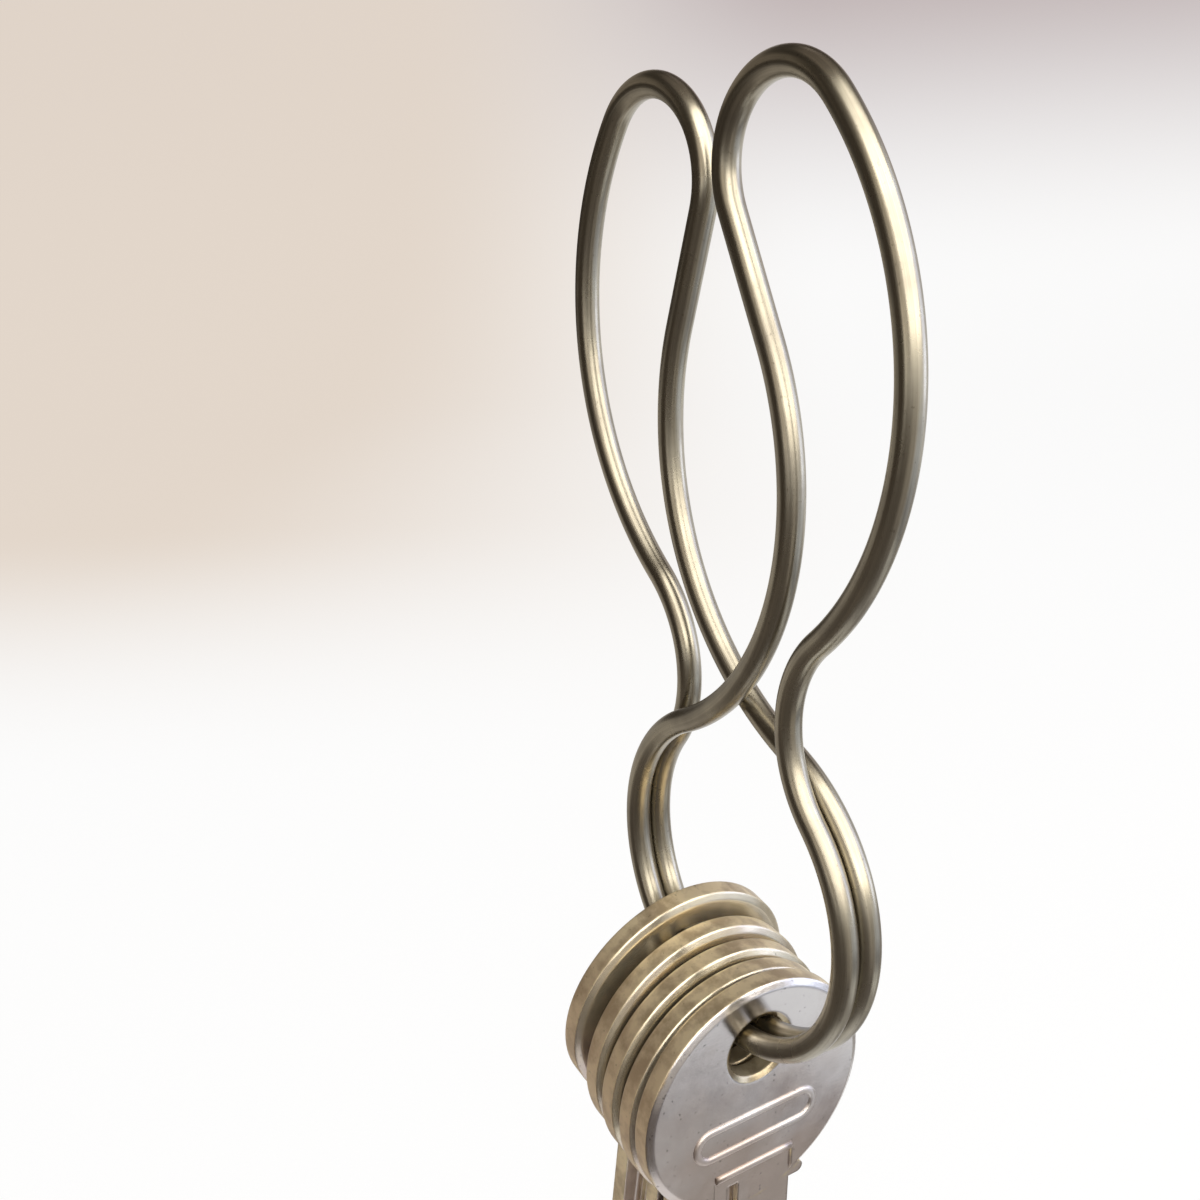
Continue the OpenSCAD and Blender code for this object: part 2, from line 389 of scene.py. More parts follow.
def turning(a, b):
    """Heading of the wire where it passes from circle a to circle b, each (x, z, radius, sense)."""
    gap = math.hypot(b[0] - a[0], b[1] - a[1])
    lean = (b[3] * b[2] - a[3] * a[2]) / gap
    return math.atan2(b[1] - a[1], b[0] - a[0]) - math.asin(max(-1.0, min(1.0, lean)))


def on_circle(c, h):
    """Point of circle c where the wire's heading is h."""
    return c[0] + c[3] * c[2] * math.sin(h), c[1] - c[3] * c[2] * math.cos(h)


def along_circle(c, h0, h1, step):
    """Points (x, z, heading) on circle c from heading h0 on, and short of h1."""
    count = math.ceil(abs(h1 - h0) * c[2] / step)
    headings = [h0 + (h1 - h0) * k / count for k in range(count)]
    return [on_circle(c, h) + (h,) for h in headings]


def loop_circles(s):
    """The circles that a loop of the wire follows, from its driving sizes. All touch, apart
    from the crown and the belly, which the straight inner leg joins."""
    mouth_x = (s.mouth_w + s.wire_d) / 2
    belly_x = (s.belt_w + s.wire_d) / 2
    belly = (belly_x - s.belly_r, 0.0, s.belly_r, -1)
    ring = (0.0, -math.sqrt((s.ring_r + s.belly_r) ** 2 - belly[0] ** 2), s.ring_r, 1)
    crown_x = mouth_x + s.crown_r
    reach = s.leg_len**2 + (s.crown_r + s.belly_r) ** 2 - (crown_x - belly[0]) ** 2
    crown = (crown_x, math.sqrt(reach), s.crown_r, 1)
    flank_x = s.ear_reach - s.flank_r
    flank_z = crown[1] - math.sqrt((s.flank_r - s.crown_r) ** 2 - (crown_x - flank_x) ** 2)
    flank = (flank_x, flank_z, s.flank_r, 1)
    span = math.hypot(flank[0] - ring[0], flank[1] - ring[1])
    to_ring, to_flank = s.ring_r + s.neck_r, s.flank_r + s.neck_r
    along = (to_ring**2 - to_flank**2 + span**2) / (2 * span)
    aside = math.sqrt(to_ring**2 - along**2)
    ux, uz = (flank[0] - ring[0]) / span, (flank[1] - ring[1]) / span
    neck = (ring[0] + along * ux + aside * uz, ring[1] + along * uz - aside * ux, s.neck_r, -1)
    return ring, neck, flank, crown, belly


def line_of_loop(s, start, stop, step=0.4 * MM):
    """Points (x, z, heading) along one loop, from its cut end at start to where it stops."""
    ring, neck, flank, crown, belly = loop_circles(s)
    tip_from = start + s.tip_run / s.ring_r
    x, z = on_circle(ring, tip_from)
    back = (math.cos(tip_from) * s.tip_run, math.sin(tip_from) * s.tip_run)
    line = [(x - back[0] * k / 4, z - back[1] * k / 4, tip_from) for k in (4, 3, 2, 1)]
    crown_exit = turning(crown, belly)
    line += along_circle(ring, tip_from, turning(ring, neck), step)
    line += along_circle(neck, turning(ring, neck), turning(neck, flank), step)
    line += along_circle(flank, turning(neck, flank), turning(flank, crown), step)
    line += along_circle(crown, turning(flank, crown), crown_exit + 2 * math.pi, step)

    # The straight inner leg
    x0, z0 = on_circle(crown, crown_exit)
    x1, z1 = on_circle(belly, crown_exit)
    count = math.ceil(math.hypot(x1 - x0, z1 - z0) / step)
    for k in range(count):
        line.append((x0 + (x1 - x0) * k / count, z0 + (z1 - z0) * k / count, crown_exit))

    line += along_circle(belly, crown_exit, turning(belly, ring), step)
    line += along_circle(ring, turning(belly, ring), stop, step)
    line.append(on_circle(ring, stop) + (stop,))
    return line


def swept_wire(name, sections, radius, bevel, sides=40):
    """A round wire swept through sections, each (middle, outward, sideways), as a new object.
    With a bevel, the first section is a cut end. The attribute drawn holds each point's place
    round the wire and its length along it, so that the drawing lines follow every bend."""
    build = bmesh.new()
    drawn = build.verts.layers.float_vector.new("drawn")
    body = [(middle, out, side, radius) for middle, out, side in sections]
    if bevel:
        middle, out, side = sections[0]
        inward = (sections[1][0] - middle).normalized()
        body[:1] = [(middle, out, side, radius - bevel), (middle + inward * bevel, out, side, radius)]
    rings, run, last = [], 0.0, None
    for middle, out, side, r in body:
        run += 0.0 if last is None else (middle - last).length
        last = middle
        ring = []
        for k in range(sides):
            a = 2 * math.pi * k / sides
            v = build.verts.new(middle + r * (math.cos(a) * out + math.sin(a) * side))
            v[drawn] = (math.cos(a) * radius / MM, math.sin(a) * radius / MM, run / MM)
            ring.append(v)
        rings.append(ring)
    for i in range(len(rings) - 1):
        for k in range(sides):
            j = (k + 1) % sides
            face = build.faces.new((rings[i][k], rings[i][j], rings[i + 1][j], rings[i + 1][k]))
            face.smooth = not (bevel and i == 0)
    build.faces.new(list(reversed(rings[0])))
    build.faces.new(rings[-1])
    for ring in [rings[0], rings[-1]] + ([rings[1]] if bevel else []):
        for k in range(sides):
            edge = build.edges.get((ring[k], ring[(k + 1) % sides]))
            edge.smooth = False
    bmesh.ops.recalc_face_normals(build, faces=build.faces)
    return add_mesh(name, build)


# How often the wire's patterns repeat in a millimetre. Die lines lie 0.1 to 0.2 mm apart round
# the wire, the first two numbers, and run on along it for centimetres, the third. Handling
# leaves patches of 4 to 10 mm, and specks are 0.1 to 0.3 mm across
DIE_LINES_PER_MM = (5.0, 5.0, 0.05)
HANDLING_PER_MM = 0.16
SPECKS_PER_MM = 3.2


def drawn_spring_steel(colours):
    """Spring steel wire, cold drawn and bent: satin, with fine lines along it from the die,
    and a faint brown tint where it was handled."""
    material, tree, shader = new_material("drawn_spring_steel")
    place = put(tree, "ShaderNodeAttribute", attribute_name="drawn").outputs["Vector"]
    lines_at = put(
        tree, "ShaderNodeVectorMath", {0: place, 1: DIE_LINES_PER_MM}, operation="MULTIPLY"
    ).outputs[0]
    lines = put(
        tree,
        "ShaderNodeTexNoise",
        {"Vector": lines_at, "Scale": 1.0, "Detail": 3.0, "Roughness": 0.65},
    ).outputs["Fac"]
    patches = put(
        tree,
        "ShaderNodeTexNoise",
        {"Vector": place, "Scale": HANDLING_PER_MM, "Detail": 4.0, "Roughness": 0.6},
    ).outputs["Fac"]
    specks = put(
        tree, "ShaderNodeTexNoise", {"Vector": place, "Scale": SPECKS_PER_MM, "Detail": 2.0}
    ).outputs["Fac"]
    dots = put(
        tree,
        "ShaderNodeMapRange",
        {"Value": specks, "From Min": 0.66, "From Max": 0.76, "To Min": 0.0, "To Max": 0.3},
    ).outputs[0]
    tint = put(
        tree,
        "ShaderNodeMapRange",
        {"Value": patches, "From Min": 0.42, "From Max": 0.68, "To Min": 0.0, "To Max": 0.75},
    ).outputs[0]
    steel = put(
        tree,
        "ShaderNodeMix",
        {0: tint, 6: linear(colours.steel), 7: linear(colours.steel_tint)},
        data_type="RGBA",
    ).outputs[2]
    streak = put(
        tree,
        "ShaderNodeMapRange",
        {"Value": lines, "From Min": 0.35, "From Max": 0.65, "To Min": 0.82, "To Max": 1.08},
    ).outputs[0]
    clean = put(tree, "ShaderNodeMath", {0: 1.0, 1: dots}, operation="SUBTRACT").outputs[0]
    tone = put(tree, "ShaderNodeMath", {0: streak, 1: clean}, operation="MULTIPLY").outputs[0]
    toned = put(tree, "ShaderNodeVectorMath", {0: steel, "Scale": tone}, operation="SCALE").outputs[0]
    rough = put(
        tree,
        "ShaderNodeMapRange",
        {"Value": patches, "From Min": 0.3, "From Max": 0.7, "To Min": 0.24, "To Max": 0.34},
    ).outputs[0]
    bump = put(
        tree, "ShaderNodeBump", {"Height": lines, "Strength": 0.35, "Distance": 0.02 * MM}
    ).outputs[0]
    tree.links.new(toned, shader.inputs["Base Color"])
    tree.links.new(rough, shader.inputs["Roughness"])
    tree.links.new(bump, shader.inputs["Normal"])
    shader.inputs["Metallic"].default_value = 1.0
    return material


def loop_sections(s, start, stop, layer, flip):
    """Sections of one loop for swept_wire. A flip of 1 makes the front loop, in the layer
    towards -Y, and -1 the rear one, which is the front one turned half round."""
    sections = []
    for x, z, h in line_of_loop(s, start, stop):
        out = Vector((math.sin(h) * flip, 0, -math.cos(h)))
        sections.append((Vector((x * flip, -layer * flip, z)), out, Vector((0, flip, 0))))
    return sections


def crossing_sections(s, start, stop, layer, steps=28):
    """Sections of the stretch round the ring where the wire passes from layer to layer."""
    ring = loop_circles(s)[0]
    sections = []
    for i in range(steps + 1):
        t = i / steps
        h = start + (stop - start) * t
        rise = t * t * (3 - 2 * t)
        slope = math.atan2(2 * layer * 6 * t * (1 - t), s.cross_len)
        x, z = on_circle(ring, h)
        out = Vector((math.sin(h), 0, -math.cos(h)))
        side = Vector((-math.cos(h) * math.sin(slope), math.cos(slope), -math.sin(h) * math.sin(slope)))
        sections.append((Vector((x, layer * (2 * rise - 1), z)), out, side))
    return sections


class KEYCLIP_OT_wire(bpy.types.Operator):
    """Draws the sprung wire: two loops and the crossover that joins them"""

    bl_idname = "keyclip.wire"
    bl_label = "Draw Wire"

    def execute(self, context):
        s = context.scene.clip_wire
        steel = drawn_spring_steel(context.scene.clip_colours)
        radius, layer = s.wire_d / 2, (s.wire_d + s.layer_gap) / 2
        half = s.cross_len / 2 / s.ring_r
        cross_from, cross_to = s.cross_at - half, s.cross_at + half
        front_end = cross_to + s.end_gap / s.ring_r
        rear_end = cross_from - s.slide_room / s.ring_r

        front_line = loop_sections(s, front_end, cross_from, layer, 1)
        rear_line = loop_sections(s, -rear_end, -cross_to, layer, -1)
        crossing_line = crossing_sections(s, cross_from, cross_to, layer)
        front = swept_wire("front_wire", front_line, radius, s.end_bevel)
        rear = swept_wire("rear_wire", rear_line, radius, s.end_bevel)
        crossing = swept_wire("crossing_wire", crossing_line, radius, 0.0)

        for piece, node in ((front, "front_loop"), (rear, "rear_loop"), (crossing, "crossover")):
            piece.data.materials.append(steel)
            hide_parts(node)
        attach(front, "front_clip")
        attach(rear, "rear_clip")
        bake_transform(crossing)
        return {"FINISHED"}


# The keys

# Share of bare brass on each key's sides, from the front key to the rear one
KEY_WEAR = {"key_1": 0.5, "key_2": 0.62, "key_3": 0.55, "key_4": 0.6, "key_5": 0.66}

# How far a dull film hides the metal: on the front key's faces, on older faces, on all sides
FRONT_FILM = 0.0
AGED_FILM = 0.08
SIDE_FILM = 0.26

# How far the wire rubs the plate off at the hole, and the share of the colour there that dirt
# and painted shade in the countersink leave
RUBBED = 0.8
DIRT_AND_SHADE = 0.62

# How often the keys' patterns repeat in a millimetre: worn patches of 1 to 3 mm, tarnish of 5 to
# 10 mm, pinholes of 0.2 mm and waves of 4 to 5 mm. Polishing lines lie 0.1 mm apart down the
# faces and shear marks 0.15 mm apart over the sides, each through the key, across it and down
WEAR_PER_MM = 0.45
TARNISH_PER_MM = 0.12
PINHOLES_PER_MM = 2.6
WAVES_PER_MM = 0.22
POLISH_PER_MM = (0.5, 1.1, 9.0)
SHEAR_PER_MM = (0.8, 6.0, 6.0)


def hung_from(joint_name):
    """Where a key hangs, from its swing joint: the hole's middle and the key's lean."""
    joint = next(j for j in frame["joints"] if j["name"] == joint_name)
    return Vector(joint["pos_m"]), math.atan2(-joint["axis"][2], joint["axis"][0])


def key_place(tree, hole, lean, sizes):
    """A point's place in the key's own frame, in millimetres: X through the key, Z up, and the
    hole's middle at zero. Then the same as single axes, and the way to the head's middle."""
    at = put(tree, "ShaderNodeTexCoord").outputs["Object"]
    own = put(
        tree,
        "ShaderNodeMapping",
        {"Vector": at, "Location": hole, "Rotation": (0, lean, 0), "Scale": (MM, MM, MM)},
        vector_type="TEXTURE",
    ).outputs[0]
    axes = put(tree, "ShaderNodeSeparateXYZ", {0: own}).outputs
    to_head = sizes.hole_offset / MM
    drop = put(tree, "ShaderNodeMath", {0: axes["Z"], 1: to_head}, operation="ADD").outputs[0]
    flat = put(tree, "ShaderNodeCombineXYZ", {"X": 0.0, "Y": axes["Y"], "Z": drop}).outputs[0]
    reach = put(tree, "ShaderNodeVectorMath", {0: flat}, operation="LENGTH").outputs["Value"]
    return own, axes, reach


def key_sides(tree, lean):
    """Masks of the plate's sides, told from its faces by the way they look, and of the beads."""
    normal = put(tree, "ShaderNodeNewGeometry").outputs["Normal"]
    turned = put(
        tree,
        "ShaderNodeVectorTransform",
        {0: normal},
        vector_type="NORMAL",
        convert_from="WORLD",
        convert_to="OBJECT",
    ).outputs[0]
    through = Vector((math.cos(lean), 0, -math.sin(lean)))
    facing = put(
        tree, "ShaderNodeVectorMath", {0: turned, 1: through}, operation="DOT_PRODUCT"
    ).outputs["Value"]
    facing = put(tree, "ShaderNodeMath", {0: facing}, operation="ABSOLUTE").outputs[0]
    side = put(
        tree,
        "ShaderNodeMapRange",
        {"Value": facing, "From Min": 0.45, "From Max": 0.85, "To Min": 1.0, "To Max": 0.0},
    ).outputs[0]
    # The beads on a face slope too, but keep the face's finish
    bead = put(tree, "ShaderNodeAttribute", attribute_name="bead").outputs["Fac"]
    flatness = put(tree, "ShaderNodeMath", {0: 1.0, 1: bead}, operation="SUBTRACT").outputs[0]
    side = put(tree, "ShaderNodeMath", {0: side, 1: flatness}, operation="MULTIPLY").outputs[0]
    return side, bead


def key_wear(tree, sizes, axes, reach, side, patches, wear):
    """Masks of the brass that shows, and of the ring round the hole that the wire rubs, which also carries
    the painted shade in the countersink.
    """
    rim = put(
        tree,
        "ShaderNodeMapRange",
        {
            "Value": reach,
            "From Min": (sizes.head_r - 0.55 * sizes.rim_w) / MM,
            "From Max": sizes.head_r / MM,
            "To Min": 0.0,
            "To Max": 0.42,
        },
    ).outputs[0]
    from_hole = put(tree, "ShaderNodeCombineXYZ", {"X": 0.0, "Y": axes["Y"], "Z": axes["Z"]}).outputs[0]
    from_hole = put(tree, "ShaderNodeVectorMath", {0: from_hole}, operation="LENGTH").outputs["Value"]
    sink = sizes.hole_r + sizes.sink_w
    rubbed_and_shaded_ring = put(
        tree,
        "ShaderNodeMapRange",
        {
            "Value": from_hole,
            "From Min": (sink + 0.15 * MM) / MM,
            "From Max": (sink - 0.2 * MM) / MM,
            "To Min": 0.0,
            "To Max": RUBBED,
        },
    ).outputs[0]
    rim = put(tree, "ShaderNodeMath", {0: rim, 1: rubbed_and_shaded_ring}, operation="ADD").outputs[0]
    # The blade, which lies outside the head, keeps the plate on its faces
    blade = put(
        tree,
        "ShaderNodeMapRange",
        {
            "Value": reach,
            "From Min": (sizes.head_r + 0.1 * MM) / MM,
            "From Max": (sizes.head_r + 0.9 * MM) / MM,
            "To Min": 0.0,
            "To Max": 0.32,
        },
    ).outputs[0]
    rim = put(tree, "ShaderNodeMath", {0: rim, 1: blade}, operation="SUBTRACT").outputs[0]
    on_side = put(tree, "ShaderNodeMath", {0: side, 1: wear}, operation="MULTIPLY").outputs[0]
    exposed = put(tree, "ShaderNodeMath", {0: on_side, 1: rim}, operation="ADD").outputs[0]
    exposed = put(tree, "ShaderNodeMath", {0: exposed, 1: patches}, operation="ADD").outputs[0]
    brassy = put(
        tree, "ShaderNodeMapRange", {"Value": exposed, "From Min": 0.82, "From Max": 1.08}
    ).outputs[0]
    return brassy, rubbed_and_shaded_ring


def key_colour(tree, colours, plate_colour, axes, moved, patches, brassy, rubbed_and_shaded_ring):
    """Nickel plate and the brass under it, each with its tarnish, and the plate with a painted reflection low
    down, then the marks on both.
    """
    # The plate is duller in patches of tarnish, and turns darker and pinker low on the key, a painted
    # reflection
    clouds = put(
        tree, "ShaderNodeTexNoise", {"Vector": moved, "Scale": TARNISH_PER_MM, "Detail": 3.0}
    ).outputs["Fac"]
    # Painted reflection: the plate turns darker and pinker towards the bottom of the key
    low = put(
        tree,
        "ShaderNodeMapRange",
        {"Value": axes["Z"], "From Min": -1.0, "From Max": -13.0, "To Min": -0.14, "To Max": 0.34},
    ).outputs[0]
    dull = put(tree, "ShaderNodeMath", {0: clouds, 1: low}, operation="ADD").outputs[0]
    dull = put(tree, "ShaderNodeMapRange", {"Value": dull, "From Min": 0.42, "From Max": 0.8}).outputs[0]
    plate = put(
        tree,
        "ShaderNodeMix",
        {0: dull, 6: linear(plate_colour), 7: linear(colours.worn_nickel_and_reflection)},
        data_type="RGBA",
    ).outputs[2]

    # The brass is darker in patches, and redder towards one edge of the head
    age = put(tree, "ShaderNodeMapRange", {"Value": patches, "From Min": 0.4, "From Max": 0.58}).outputs[0]
    brass = put(
        tree,
        "ShaderNodeMix",
        {0: age, 6: linear(colours.brass_dark), 7: linear(colours.brass)},
        data_type="RGBA",
    ).outputs[2]
    red = put(
        tree,
        "ShaderNodeMapRange",
        {"Value": axes["Y"], "From Min": -6.0, "From Max": -11.0, "To Min": 0.0, "To Max": 0.4},
    ).outputs[0]
    copper = linear(colours.copper)
    brass = put(tree, "ShaderNodeMix", {0: red, 6: brass, 7: copper}, data_type="RGBA").outputs[2]
    base = put(tree, "ShaderNodeMix", {0: brassy, 6: plate, 7: brass}, data_type="RGBA").outputs[2]

    # Pinholes, faint smudges as wide as the worn patches, and dirt with painted shade round the hole
    pits = put(
        tree, "ShaderNodeTexNoise", {"Vector": moved, "Scale": PINHOLES_PER_MM, "Detail": 1.0}
    ).outputs["Fac"]
    pits = put(
        tree,
        "ShaderNodeMapRange",
        {"Value": pits, "From Min": 0.7, "From Max": 0.78, "To Min": 1.0, "To Max": 0.65},
    ).outputs[0]
    smudge = put(
        tree,
        "ShaderNodeMapRange",
        {"Value": patches, "From Min": 0.38, "From Max": 0.62, "To Min": 0.95, "To Max": 1.02},
    ).outputs[0]
    # Dirt and painted shade darken the countersink round the hole
    hole_dirt_and_shade = put(
        tree, "ShaderNodeMapRange", {"Value": rubbed_and_shaded_ring, "From Max": RUBBED, "To Min": 1.0, "To Max": DIRT_AND_SHADE}
    ).outputs[0]
    tone = put(tree, "ShaderNodeMath", {0: pits, 1: smudge}, operation="MULTIPLY").outputs[0]
    tone = put(tree, "ShaderNodeMath", {0: tone, 1: hole_dirt_and_shade}, operation="MULTIPLY").outputs[0]
    return put(tree, "ShaderNodeVectorMath", {0: base, "Scale": tone}, operation="SCALE").outputs[0]


def key_relief(tree, sizes, moved, side):
    """The surface's normal: soft edges, gentle waves, then polishing lines on the faces and
    shear marks on the sides."""
    lines_at = put(
        tree, "ShaderNodeVectorMath", {0: moved, 1: POLISH_PER_MM}, operation="MULTIPLY"
    ).outputs[0]
    lines = put(
        tree, "ShaderNodeTexNoise", {"Vector": lines_at, "Scale": 1.0, "Detail": 2.0, "Distortion": 0.15}
    ).outputs["Fac"]
    marks_at = put(tree, "ShaderNodeVectorMath", {0: moved, 1: SHEAR_PER_MM}, operation="MULTIPLY").outputs[0]
    marks = put(
        tree, "ShaderNodeTexNoise", {"Vector": marks_at, "Scale": 1.0, "Detail": 3.0, "Roughness": 0.7}
    ).outputs["Fac"]
    grain = put(tree, "ShaderNodeMix", {0: side, 2: lines, 3: marks}, data_type="FLOAT").outputs[0]
    depth = put(tree, "ShaderNodeMapRange", {"Value": side, "To Min": 0.1, "To Max": 0.9}).outputs[0]
    swell = put(
        tree, "ShaderNodeTexNoise", {"Vector": moved, "Scale": WAVES_PER_MM, "Detail": 1.0}
    ).outputs["Fac"]
    soft = put(tree, "ShaderNodeBevel", {"Radius": sizes.soft_edge}, samples=8).outputs[0]
    wavy = put(
        tree, "ShaderNodeBump", {"Height": swell, "Strength": 0.5, "Distance": 0.1 * MM, "Normal": soft}
    ).outputs[0]
    return put(
        tree, "ShaderNodeBump", {"Height": grain, "Strength": depth, "Distance": 0.035 * MM, "Normal": wavy}
    ).outputs[0]


def plated_brass(name, key, sizes, colours, plate_colour, wear, film, seed):
    """Brass key blank, stamped, nickel plated and polished. Pockets and hands have worn the
    plate off its edges, where tan brass shows, and scratched its faces.
    Wear is the share of brass on the sides, film how dull the faces have become."""
    material, tree, shader = new_material(name)
    hole, lean = hung_from(key + "_swing")
    own, axes, reach = key_place(tree, hole, lean, sizes)
    shift = (seed * 7.3, seed * 3.1, seed * 5.7)
    moved = put(tree, "ShaderNodeVectorMath", {0: own, 1: shift}, operation="ADD").outputs[0]
    side, bead = key_sides(tree, lean)
    # Plate wears off in patches, first along the rim
    patches = put(
        tree,
        "ShaderNodeTexNoise",
        {"Vector": moved, "Scale": WEAR_PER_MM, "Detail": 5.0, "Roughness": 0.62},
    ).outputs["Fac"]
    brassy, rubbed_and_shaded_ring = key_wear(tree, sizes, axes, reach, side, patches, wear)
    base = key_colour(tree, colours, plate_colour, axes, moved, patches, brassy, rubbed_and_shaded_ring)
    bump = key_relief(tree, sizes, moved, side)

    # Polished faces, with rougher sides and beads
    smooth = put(
        tree,
        "ShaderNodeMapRange",
        {"Value": patches, "From Min": 0.3, "From Max": 0.7, "To Min": 0.16, "To Max": 0.27},
    ).outputs[0]
    matte = put(tree, "ShaderNodeMath", {0: side, 1: bead}, operation="MAXIMUM").outputs[0]
    matte = put(tree, "ShaderNodeMath", {0: matte, 1: 0.2}, operation="MULTIPLY").outputs[0]
    rough = put(tree, "ShaderNodeMath", {0: smooth, 1: matte}, operation="ADD").outputs[0]
    tree.links.new(base, shader.inputs["Base Color"])
    tree.links.new(rough, shader.inputs["Roughness"])
    tree.links.new(bump, shader.inputs["Normal"])
    # A dull film of oxide and pocket dirt lies on the sides, and thinly on old faces
    dirt = put(tree, "ShaderNodeMapRange", {"Value": side, "To Min": film, "To Max": SIDE_FILM}).outputs[0]
    bare = put(tree, "ShaderNodeMath", {0: 1.0, 1: dirt}, operation="SUBTRACT").outputs[0]
    tree.links.new(bare, shader.inputs["Metallic"])
    return material


def swept_bead(name, path, closed, width, height, place, lean):
    """A low rounded bead along path, points (y, z) in a key's own frame, on the face at place.
    Its foot lies a little inside the face."""
    section = [(math.cos(math.radians(d)) / 2, math.sin(math.radians(d))) for d in range(-15, 196, 15)]
    build = bmesh.new()
    rows, count = [], len(path)
    for i, (y, z) in enumerate(path):
        before = path[i - 1] if i or closed else path[i]
        after = path[(i + 1) % count] if i < count - 1 or closed else path[i]
        along = Vector((after[0] - before[0], after[1] - before[1])).normalized()
        row = []
        for w, h in section:
            row.append(build.verts.new((h * height, y - along.y * w * width, z + along.x * w * width)))
        rows.append(row)
    pairs = list(zip(rows, rows[1:])) + ([(rows[-1], rows[0])] if closed else [])
    for a, b in pairs:
        for k in range(len(section) - 1):
            build.faces.new((a[k], b[k], b[k + 1], a[k + 1])).smooth = True
        build.faces.new((a[-1], b[-1], b[0], a[0]))
    if not closed:
        build.faces.new(list(reversed(rows[0])))
        build.faces.new(rows[-1])
    bmesh.ops.recalc_face_normals(build, faces=build.faces)
    onto_face = Matrix.Translation(place) @ Matrix.Rotation(lean, 4, "Y")
    bmesh.ops.transform(build, matrix=onto_face, verts=build.verts)
    obj = add_mesh(name, build)
    marks = obj.data.attributes.new("bead", "FLOAT", "POINT")
    marks.data.foreach_set("value", [1.0] * len(obj.data.vertices))
    return obj


def oval_path(length, height, steps=20):
    """Points round an oval with straight sides, about its middle."""
    path = []
    for end, turn in ((1, -90), (-1, 90)):
        for k in range(steps + 1):
            a = math.radians(turn + 180 * k / steps)
            path.append((end * (length - height) / 2 + math.cos(a) * height / 2, math.sin(a) * height / 2))
    return path


class KEYCLIP_OT_keys(bpy.types.Operator):
    """Gives the five keys their worn nickel plate, and the front one its rounded beads"""

    bl_idname = "keyclip.keys"
    bl_label = "Finish Keys"

    def execute(self, context):
        sizes, colours = context.scene.clip_keys, context.scene.clip_colours
        for seed, (key, wear) in enumerate(KEY_WEAR.items(), start=1):
            front = key == "key_1"
            plate = colours.nickel if front else colours.nickel_aged
            film = FRONT_FILM if front else AGED_FILM
            finish = plated_brass("nickel_plated_brass_" + key, key, sizes, colours, plate, wear, film, seed)
            node = frame["nodes"][key]
            node.data.materials.clear()
            node.data.materials.append(finish)

        # The stamped head has round beads: the oval frame, and the shoulder over the blade's step.
        # The heads behind lie too close for any, and keep the flat frame line of the CAD
        finish = frame["nodes"]["key_1"].data.materials[0]
        hole, lean = hung_from("key_1_swing")
        face = hole + Vector((math.cos(lean), 0, -math.sin(lean))) * sizes.key_t / 2
        frame_line = oval_path(sizes.oval_len - sizes.oval_line, sizes.oval_h - sizes.oval_line)
        frame_line = [(y, z - sizes.oval_drop) for y, z in frame_line]
        step_z = -sizes.step_drop + sizes.bead_w / 2
        # The shoulder stops just short of the blade's edges
        step_line = [(sizes.blade_w * (k / 8 - 0.5) * 0.98, step_z) for k in range(9)]
        for name, line, closed in (("oval_bead", frame_line, True), ("step_bead", step_line, False)):
            bead = swept_bead(name, line, closed, sizes.bead_w, sizes.bead_h, face, lean)
            bead.data.materials.append(finish)
            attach(bead, "key_1")
        return {"FINISHED"}


# The stage

# Camera: place, axes in the picture and focal length, from the wire's outline
CAMERA_AT = (0.08169, -0.06019, 0.02096)
CAMERA_RIGHT = (0.52771, 0.84706, -0.06334)
CAMERA_DOWN = (0.21578, -0.20580, -0.95451)
CAMERA_LENS = 42.455
CAMERA_SENSOR = 36.0

# Middle of the object, where the softboxes point
LIT_AT = (0, 0, -0.03)

# Softboxes: name, then degrees, distance and height as the function around takes them, then the
# light's width and height
SOFTBOXES = (
    ("key", 36, 0.4, 0.28, 0.96, 0.68),
    ("front", -34, 0.5, 0.16, 0.3, 0.5),
    ("cool", 98, 0.5, 0.08, 0.26, 0.45),
)

# Cards on the floor lie this far over it, and the innermost begin this far out
CARD_RISE = 0.002
CARD_NEAR = 0.035


def floor_strip(near, far):
    """Profile of a card that lies flat on the floor, from near to far."""
    return (near, CARD_RISE), (far, CARD_RISE)


# The low card on the left runs out along the floor and bends up
LOW_LEFT = floor_strip(CARD_NEAR, 0.27) + ((0.3, 0.03), (0.3, 0.095))

